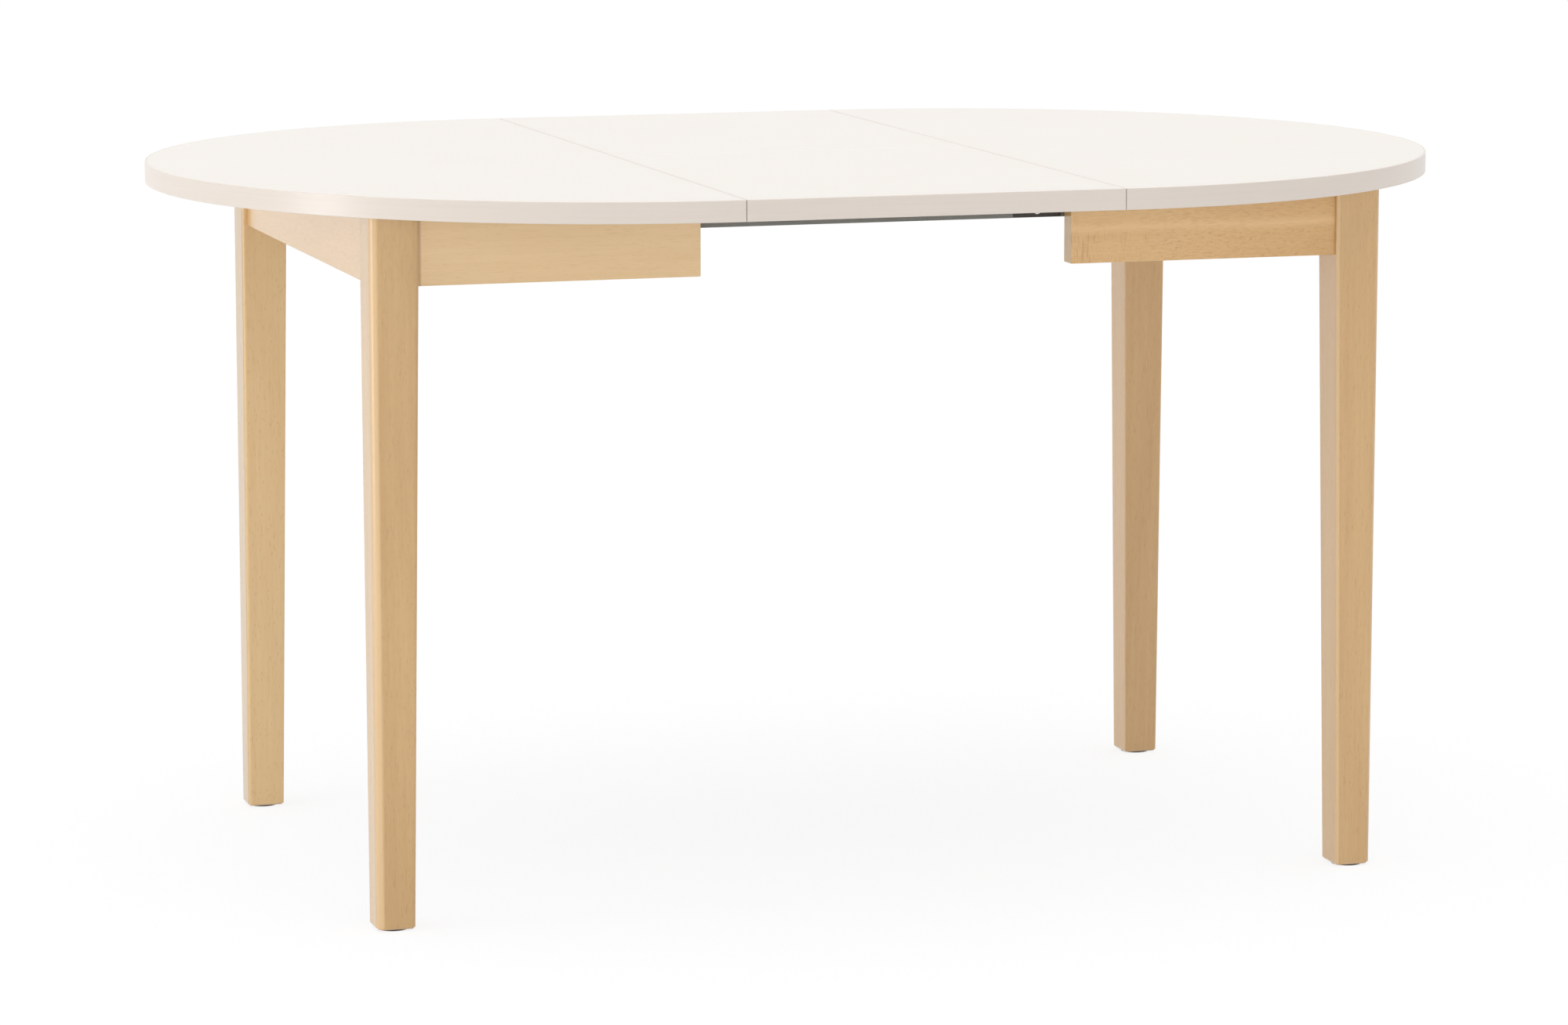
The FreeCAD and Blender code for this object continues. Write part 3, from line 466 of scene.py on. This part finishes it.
def zinc_plated_steel():
    """Zinc-plated steel: bright grey metal with faint blue and straw clouds from its passivating bath."""
    material, tree, place = new_material("zinc_plated_steel")
    cloud = add(tree, "TexNoise", {
        "Vector": sized(tree, place["Object"], PLATING_CLOUD), "Scale": 1.0, "Detail": 3.0})
    fine = add(tree, "TexNoise", {
        "Vector": sized(tree, place["Object"], PLATING_GRAIN), "Scale": 1.0, "Detail": 2.0})
    past_blue = add(tree, "MapRange", {"Value": cloud, "From Min": 0.35, "From Max": 0.55})
    blue = add(tree, "Mix", {
        SHARE: past_blue, FIRST: srgb("#BFC4CA"), SECOND: srgb("#C6C7C5")}, data_type="RGBA")
    to_straw = add(tree, "MapRange", {"Value": cloud, "From Min": 0.55, "From Max": 0.75})
    straw = add(tree, "Mix", {SHARE: to_straw, FIRST: blue, SECOND: srgb("#CBC6B4")}, data_type="RGBA")
    rough = add(tree, "MapRange", {
        "Value": fine, "From Min": 0.3, "From Max": 0.7, "To Min": 0.27, "To Max": 0.4})
    relief = add(tree, "Bump", {"Height": fine, "Strength": 0.15, "Distance": 0.03 * MM})
    shader = add(tree, "BsdfPrincipled", {
        "Base Color": straw, "Metallic": 1.0, "Roughness": rough, "Normal": relief})
    add(tree, "OutputMaterial", {"Surface": shader})
    return material


def turned_brass():
    """Turned brass: warm bright metal with the fine rings that the lathe leaves round the barrels' axis."""
    material, tree, place = new_material("turned_brass")
    rings = add(tree, "TexWave", {
        "Vector": place["Object"], "Scale": WAVE_PERIOD / (LATHE_LINE * MM), "Distortion": 0.6},
        bands_direction="Y")
    cloud = add(tree, "TexNoise", {
        "Vector": sized(tree, place["Object"], BRASS_CLOUD), "Scale": 1.0, "Detail": 2.0})
    colour = add(tree, "Mix", {
        SHARE: cloud, FIRST: srgb("#CDAA66"), SECOND: srgb("#B8924F")}, data_type="RGBA")
    rough = add(tree, "MapRange", {
        "Value": cloud, "From Min": 0.3, "From Max": 0.7, "To Min": 0.24, "To Max": 0.36})
    relief = add(tree, "Bump", {"Height": rings.outputs["Fac"], "Strength": 0.3, "Distance": 0.03 * MM})
    shader = add(tree, "BsdfPrincipled", {
        "Base Color": colour, "Metallic": 1.0, "Roughness": rough, "Normal": relief})
    add(tree, "OutputMaterial", {"Surface": shader})
    return material


def moulded_nylon(name, colour, second):
    """Nylon, injection-moulded against a spark-eroded tool: waxy and even, with a very fine matt grain."""
    material, tree, place = new_material(name)
    grain = add(tree, "TexNoise", {
        "Vector": sized(tree, place["Object"], MOULD_GRAIN), "Scale": 1.0, "Detail": 2.0})
    cloud = add(tree, "TexNoise", {
        "Vector": sized(tree, place["Object"], MOULD_CLOUD), "Scale": 1.0, "Detail": 2.0})
    nylon = add(tree, "Mix", {SHARE: cloud, FIRST: srgb(colour), SECOND: srgb(second)}, data_type="RGBA")
    rough = add(tree, "MapRange", {
        "Value": grain, "From Min": 0.3, "From Max": 0.7, "To Min": 0.42, "To Max": 0.54})
    relief = add(tree, "Bump", {"Height": grain, "Strength": 0.3, "Distance": 0.04 * MM})
    shader = add(tree, "BsdfPrincipled", {
        "Base Color": nylon, "Roughness": rough, "Normal": relief, "IOR": 1.53})
    add(tree, "OutputMaterial", {"Surface": shader})
    return material


# Legs: the corners take a painted highlight. The right legs' faces along X are painted paler and the rear
# left leg's darker, standing in for how the left lamps reach them.
upright_beech = lacquered_beech("beech_legs", Z, "#D5B078", "#BC9056", 0.3, corners="#E6C496")
right_upright_beech = lacquered_beech(
    "beech_right_legs", Z, "#D6B079", "#BE9157", 0.3, side_light_and_shade="#E0B373", corners="#E6C496")
pale_upright_beech = lacquered_beech("pale_beech_leg", Z, "#EAC993", "#D6AC71", 0.32, side_light_and_shade="#6A5212")
# The side aprons are paler than the legs: partly lighter boards, partly painted light that makes up for the
# shade under the top's overhang.
side_beech = lacquered_beech("beech_side_aprons", X, "#E7C898", "#D8B17C", joint_shadowed=True)
figured_beech = lacquered_beech("beech_figured_apron", X, "#E3BB82", "#D3A566", 0.25, figured=True)
end_beech = lacquered_beech("beech_end_aprons", Y, "#DAB279", "#D0A568", 0.06)

FINISHES = {
    "beech": side_beech,
    "inner_beech": raw_beech("raw_beech_blocks", Z),
    "top_laminate": melamine_laminate(),
    "edge_band": abs_edge_band(),
    "dark_nylon": moulded_nylon("dark_nylon", "#2E2823", "#262019"),
    "white_nylon": moulded_nylon("white_nylon", "#EAE9E4", "#E4E3DD"),
    "rail_steel": coated_steel("grey_coated_steel", "#76746D", "#6A6862", 0.4),
    "arm_steel": coated_steel("black_coated_steel", "#303031", "#262627", 0.45),
    "brass": turned_brass(),
    "zinc_steel": zinc_plated_steel(),
}


def finish_of(node, slot):
    """The material of a CAD node: by its slot, and for beech by the board, the way its grain runs and, for
    the legs, their painted light and shade.
    """
    if node == "right_front_apron":
        return figured_beech
    if node == "left_rear_leg":
        return pale_upright_beech
    if node.endswith("_leg"):
        return right_upright_beech if node.startswith("right") else upright_beech
    if node.endswith("end_apron"):
        return end_beech
    return FINISHES[slot]


for row in frame["record"]["subparts"]:
    mesh = frame["nodes"][row["node"]].data
    mesh.materials.clear()
    mesh.materials.append(finish_of(row["node"], row["material_slot"]))


angles = np.linspace(0.0, 2 * pi, TURN_STEPS, endpoint=False)


def ring(radius, depth):
    """One ring of a turned form: its radius and its depth at every angle."""
    radius, depth, _ = np.broadcast_arrays(radius, depth, angles)
    return np.stack([radius, depth], axis=-1)[None]


def cross_outline(reach):
    """Radius of a cross at every angle: its arm's end or, past the arm's corner, its arm's side."""
    off = np.abs((angles + pi / 4) % (pi / 2) - pi / 4)
    side = reach * np.tan(CROSS_ARM) / np.maximum(np.sin(off), LEAST_SINE)
    return np.minimum(reach / np.cos(off), side)


def hexagon_outline(flats):
    """Radius of a hexagon at every angle: half its width over the cosine of the angle to its flat."""
    return flats / 2 / np.cos(angles % (pi / 3) - pi / 6)


def thread(shank, pitch, start, end):
    """Rings of a thread: the radius is a saw tooth of the depth, which one turn moves on by one pitch."""
    depth = np.arange(start, end, pitch / THREAD_STEPS)[:, None]
    tooth = 1 - np.abs(2 * ((depth / pitch - angles / (2 * pi)) % 1.0) - 1)
    radius = shank * (1 - THREAD_CUT + THREAD_CUT * tooth)
    return np.stack(np.broadcast_arrays(radius, depth), axis=-1)


def screw_end(start):
    """Rings of a wood screw's thread and its point."""
    threaded = thread(SCREW_SHANK, SCREW_PITCH, start, SCREW_LENGTH - SCREW_SHANK)
    return [threaded, ring(SCREW_TIP, SCREW_LENGTH)]


def pan_screw():
    """Round-headed screw: a cross in its flat crown, then a quarter of an ellipse down to its rim."""
    cross = cross_outline(CROSS_REACH)
    crown = [ring(CROSS_TAPER * cross, CROSS_DEPTH - SCREW_RISE), ring(cross, -SCREW_RISE)]
    fall = [ring(SCREW_CROWN + (SCREW_HEAD - SCREW_CROWN) * sin(t), -SCREW_RISE * cos(t))
            for t in np.linspace(0.0, pi / 2, CROWN_RINGS)]
    return np.concatenate(crown + fall + screw_end(0.0))


def flat_screw():
    """Countersunk screw: a cross in its flat head, which a cone joins to the shank."""
    cross = cross_outline(CROSS_REACH)
    head = [ring(CROSS_TAPER * cross, CROSS_DEPTH), ring(cross, 0.0), ring(SCREW_HEAD, 0.0)]
    return np.concatenate(head + screw_end(SCREW_RISE))


def socket_bolt(length):
    """Low-headed bolt: a hexagon socket, a chamfered rim and a fine thread with a chamfered end."""
    socket = hexagon_outline(SOCKET_FLATS)
    return np.concatenate([
        ring(SOCKET_TAPER * socket, SOCKET_DEPTH - BOLT_RISE), ring(socket, -BOLT_RISE),
        ring(BOLT_HEAD - BOLT_EASING, -BOLT_RISE), ring(BOLT_HEAD, BOLT_EASING - BOLT_RISE),
        ring(BOLT_HEAD, 0.0), thread(BOLT_SHANK, BOLT_PITCH, 0.0, length - BOLT_EASING),
        ring(BOLT_SHANK, length - BOLT_EASING), ring(BOLT_SHANK - BOLT_EASING, length)])


def hanger_bolt(length):
    """Headless bolt from its free end: a fine thread for the nut, then a coarse one for the leg."""
    neck = length - HANGER_WOOD
    return np.concatenate([
        ring(HANGER_SHANK - HANGER_EASING, 0.0), thread(HANGER_SHANK, HANGER_PITCH, HANGER_EASING, neck),
        thread(HANGER_SHANK, HANGER_WOOD_PITCH, neck, length - HANGER_SHANK), ring(HANGER_TIP, length)])


def hexagon_nut():
    """Nut round a bore: its hexagon is cut by a cone of 30 degrees at both faces."""
    hexagon = hexagon_outline(NUT_FLATS)
    cut = (hexagon - NUT_FACE) * np.tan(NUT_CHAMFER)
    return np.concatenate([
        ring(HANGER_SHANK, -NUT_HEIGHT), ring(NUT_FACE, -NUT_HEIGHT), ring(hexagon, cut - NUT_HEIGHT),
        ring(hexagon, -cut), ring(NUT_FACE, 0.0), ring(HANGER_SHANK, 0.0)])


def washer():
    """Stamped washer: a flat ring with eased outer edges."""
    rim = WASHER_RADIUS - WASHER_EASING
    return np.concatenate([
        ring(WASHER_HOLE, 0.0), ring(rim, 0.0), ring(WASHER_RADIUS, WASHER_EASING),
        ring(WASHER_RADIUS, WASHER_HEIGHT - WASHER_EASING), ring(rim, WASHER_HEIGHT),
        ring(WASHER_HOLE, WASHER_HEIGHT)])


def turned_mesh(form, bored):
    """Points and blocks of faces of a turned form: rings at a radius and a depth round its axis.

    A bored form closes on its first ring, and others end in a point on the axis at both ends.
    """
    radius, depth = form[..., 0], form[..., 1]
    points = np.stack([radius * np.cos(angles), radius * np.sin(angles), depth], axis=-1).reshape(-1, 3)
    index = np.arange(len(points)).reshape(radius.shape)
    rings = np.vstack([index, index[:1]]) if bored else index
    here, after = rings[:-1], rings[1:]
    walls = np.stack([here, np.roll(here, -1, 1), np.roll(after, -1, 1), after], axis=-1).reshape(-1, 4)
    if bored:
        return points, [walls]
    first, last = index[0], index[-1]
    middle = np.full(TURN_STEPS, len(points))
    start = np.stack([middle, np.roll(first, -1), first], axis=-1)
    end = np.stack([last, np.roll(last, -1), middle + 1], axis=-1)
    points = np.vstack([points, [0.0, 0.0, depth[0, 0]], [0.0, 0.0, depth[-1, 0]]])
    return points, [walls, start, end]


def placed(points, seat, way):
    """Points in metres, with the form's axis along the way from the seat."""
    upright = abs(way[Z]) > DIAGONAL
    side = np.cross((1.0, 0.0, 0.0) if upright else (0.0, 0.0, 1.0), way)
    return np.asarray(seat) + MM * points @ np.array([side, np.cross(way, side), way])


def make_fasteners(node, body, forms, bored=False):
    """One piece for a CAD node's fasteners: rows of a form, its seat and its way."""
    all_points = np.empty((0, 3))
    all_faces = []
    for form, seat, way in forms:
        points, blocks = turned_mesh(form, bored)
        for block in blocks:
            all_faces += (block + len(all_points)).tolist()
        all_points = np.vstack([all_points, placed(points, seat, way)])
    mesh = bpy.data.meshes.new(node + "_turned")
    mesh.from_pydata(all_points.tolist(), [], all_faces)
    mesh.shade_smooth()
    mesh.set_sharp_from_angle(angle=radians(CRISP_EDGE))
    mesh.materials.append(FINISHES["zinc_steel"])
    piece = bpy.data.objects.new(node + "_turned", mesh)
    scene.collection.objects.link(piece)
    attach(piece, body)
    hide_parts(node)


def half_fasteners(half, out):
    """Fasteners of one half: out is the way from the table's middle, 1 to the right and -1 to the left."""
    body = half + "_half"
    head = SCREW_HEAD * MM
    length = SCREW_LENGTH * MM
    low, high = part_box(half + "_top_angle_screws")
    outer, inner = (high.x, low.x) if out > 0 else (low.x, high.x)
    rows = []
    for y in (low.y + head, high.y - head):
        rows.append((pan_screw(), (outer - out * length, y, low.z + head), (out, 0.0, 0.0)))
        rows.append((pan_screw(), (inner + out * head, y, high.z - length), (0.0, 0.0, 1.0)))
    make_fasteners(half + "_top_angle_screws", body, rows)

    low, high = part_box(half + "_channel_screws")
    middle = (low.z + high.z) / 2
    rows = []
    for x in np.linspace(low.x + head, high.x - head, CHANNEL_SCREWS):
        rows.append((flat_screw(), (x, high.y - length, middle), (0.0, 1.0, 0.0)))
        rows.append((flat_screw(), (x, low.y + length, middle), (0.0, -1.0, 0.0)))
    make_fasteners(half + "_channel_screws", body, rows)

    low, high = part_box(half + "_leg_bolts")
    middle = (low.z + high.z) / 2
    rim = HANGER_SHANK * MM * DIAGONAL
    run = high.x - low.x - 2 * rim
    outer = high.x - rim if out > 0 else low.x + rim
    bolts = []
    nuts = []
    for end, tip in ((1, high.y - rim), (-1, low.y + rim)):
        way = np.array([out, end, 0.0]) * DIAGONAL
        free = np.array([outer - out * run, tip - end * run, middle])
        bolts.append((hanger_bolt(run / MM / DIAGONAL), free, way))
        nuts.append((hexagon_nut(), free + way * HANGER_TAIL * MM, way))
        nuts.append((washer(), free + way * HANGER_TAIL * MM, way))
    make_fasteners(half + "_leg_bolts", body, bolts)
    make_fasteners(half + "_leg_nuts", body, nuts, bored=True)


def middle_fasteners():
    """Bolts of the carriage and screws of the wing brackets."""
    low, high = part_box("cross_bar_bolts")
    middle = (low.z + high.z) / 2
    bolt = socket_bolt(BAR_BOLT_LENGTH)
    rows = []
    for x in (low.x + BOLT_HEAD * MM, high.x - BOLT_HEAD * MM):
        rows.append((bolt, (x, high.y - BOLT_RISE * MM, middle), (0.0, -1.0, 0.0)))
        rows.append((bolt, (x, low.y + BOLT_RISE * MM, middle), (0.0, 1.0, 0.0)))
    make_fasteners("cross_bar_bolts", "carriage", rows)

    low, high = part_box("base_plate_bolts")
    middle = (low.z + high.z) / 2
    bolt = socket_bolt(PLATE_BOLT_LENGTH)
    rows = []
    for y in (low.y + BOLT_HEAD * MM, high.y - BOLT_HEAD * MM):
        rows.append((bolt, (high.x - PLATE_BOLT_LENGTH * MM, y, middle), (1.0, 0.0, 0.0)))
        rows.append((bolt, (low.x + PLATE_BOLT_LENGTH * MM, y, middle), (-1.0, 0.0, 0.0)))
    make_fasteners("base_plate_bolts", "carriage", rows)

    low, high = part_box("wing_bracket_screws")
    head = SCREW_HEAD * MM
    rows = [(pan_screw(), (x, y, high.z - SCREW_LENGTH * MM), (0.0, 0.0, 1.0))
            for x in (low.x + head, high.x - head) for y in (low.y + head, high.y - head)]
    make_fasteners("wing_bracket_screws", "rear_wing", rows)


half_fasteners("right", 1)
half_fasteners("left", -1)
middle_fasteners()


def shown_white(tree):
    """1 where the camera, a gloss or a clear piece sees a surface, 0 where it lights the table."""
    path = add(tree, "LightPath").outputs
    seen = add(tree, "Math", {0: path["Is Camera Ray"], 1: path["Is Glossy Ray"]}, operation="ADD")
    return add(tree, "Math", {0: seen, 1: path["Is Transmission Ray"]}, operation="ADD", use_clamp=True)


def make_floor():
    """Level white floor: the camera sees it white, with the table's soft shadow on it."""
    mesh = bpy.data.meshes.new("floor")
    corners = [(-FLOOR_HALF, -FLOOR_HALF, 0), (FLOOR_HALF, -FLOOR_HALF, 0),
               (FLOOR_HALF, FLOOR_HALF, 0), (-FLOOR_HALF, FLOOR_HALF, 0)]
    mesh.from_pydata(corners, [], [(0, 1, 2, 3)])
    floor = bpy.data.objects.new("floor", mesh)
    scene.collection.objects.link(floor)
    material, tree, _ = new_material("white_floor")
    plain = add(tree, "BsdfDiffuse", {"Color": (FLOOR_BOUNCE, FLOOR_BOUNCE, FLOOR_BOUNCE, 1.0)})
    faint = add(tree, "BsdfDiffuse", {"Color": (FLOOR_SHADE, FLOOR_SHADE, FLOOR_SHADE, 1.0)})
    glow = add(tree, "Emission", {"Strength": FLOOR_GLOW})
    white = add(tree, "AddShader", {0: faint, 1: glow})
    shader = add(tree, "MixShader", {0: shown_white(tree), 1: plain, 2: white})
    add(tree, "OutputMaterial", {"Surface": shader})
    mesh.materials.append(material)


def make_sky():
    """White surroundings: plain soft light for the table, white where the camera or a gloss sees them."""
    world = bpy.data.worlds.new("white_studio")
    scene.world = world
    world.use_nodes = True
    tree = world.node_tree
    tree.nodes.clear()
    strength = add(tree, "MapRange", {"Value": shown_white(tree), "To Min": SKY_STRENGTH})
    light = add(tree, "Background", {"Color": (1.0, 1.0, 1.0, 1.0), "Strength": strength})
    add(tree, "OutputWorld", {"Surface": light})


def direction(azimuth, elevation):
    """Way from the table: azimuth 0 is to its front and -90 to its left, elevation is above the floor."""
    turn = radians(azimuth)
    rise = radians(elevation)
    return Vector((sin(turn) * cos(rise), -cos(turn) * cos(rise), sin(rise)))


def make_lights():
    """Wide even lights in front, to the left and overhead, and a softbox that the lacquer mirrors."""
    panel = bpy.data.lights.new("left_softbox", "AREA")
    panel.shape = "RECTANGLE"
    panel.size, panel.size_y = SOFTBOX_SIZE
    panel.energy = SOFTBOX_WATTS
    stand = bpy.data.objects.new("left_softbox", panel)
    stand.location = SOFTBOX_PLACE
    stand.rotation_euler = (SOFTBOX_AIM - SOFTBOX_PLACE).to_track_quat("-Z", "Y").to_euler()
    scene.collection.objects.link(stand)
    for name, light in WIDE_LIGHTS.items():
        lamp = bpy.data.lights.new(name, "SUN")
        lamp.angle = radians(light["spread"])
        lamp.energy = light["strength"]
        holder = bpy.data.objects.new(name, lamp)
        way = direction(light["azimuth"], light["elevation"])
        holder.rotation_euler = (-way).to_track_quat("-Z", "Y").to_euler()
        scene.collection.objects.link(holder)


def make_camera():
    """Camera on its azimuth and elevation, level, with no shift."""
    back = direction(CAMERA_AZIMUTH, CAMERA_ELEVATION)
    lens = bpy.data.cameras.new("camera")
    lens.sensor_width = SENSOR_WIDTH
    lens.lens = CAMERA_LENS
    camera = bpy.data.objects.new("camera", lens)
    camera.location = CAMERA_TARGET + back * CAMERA_DISTANCE
    camera.rotation_euler = (-back).to_track_quat("-Z", "Y").to_euler()
    scene.collection.objects.link(camera)
    scene.camera = camera


make_floor()
make_sky()
make_lights()
make_camera()
scene.view_settings.view_transform = "Standard"
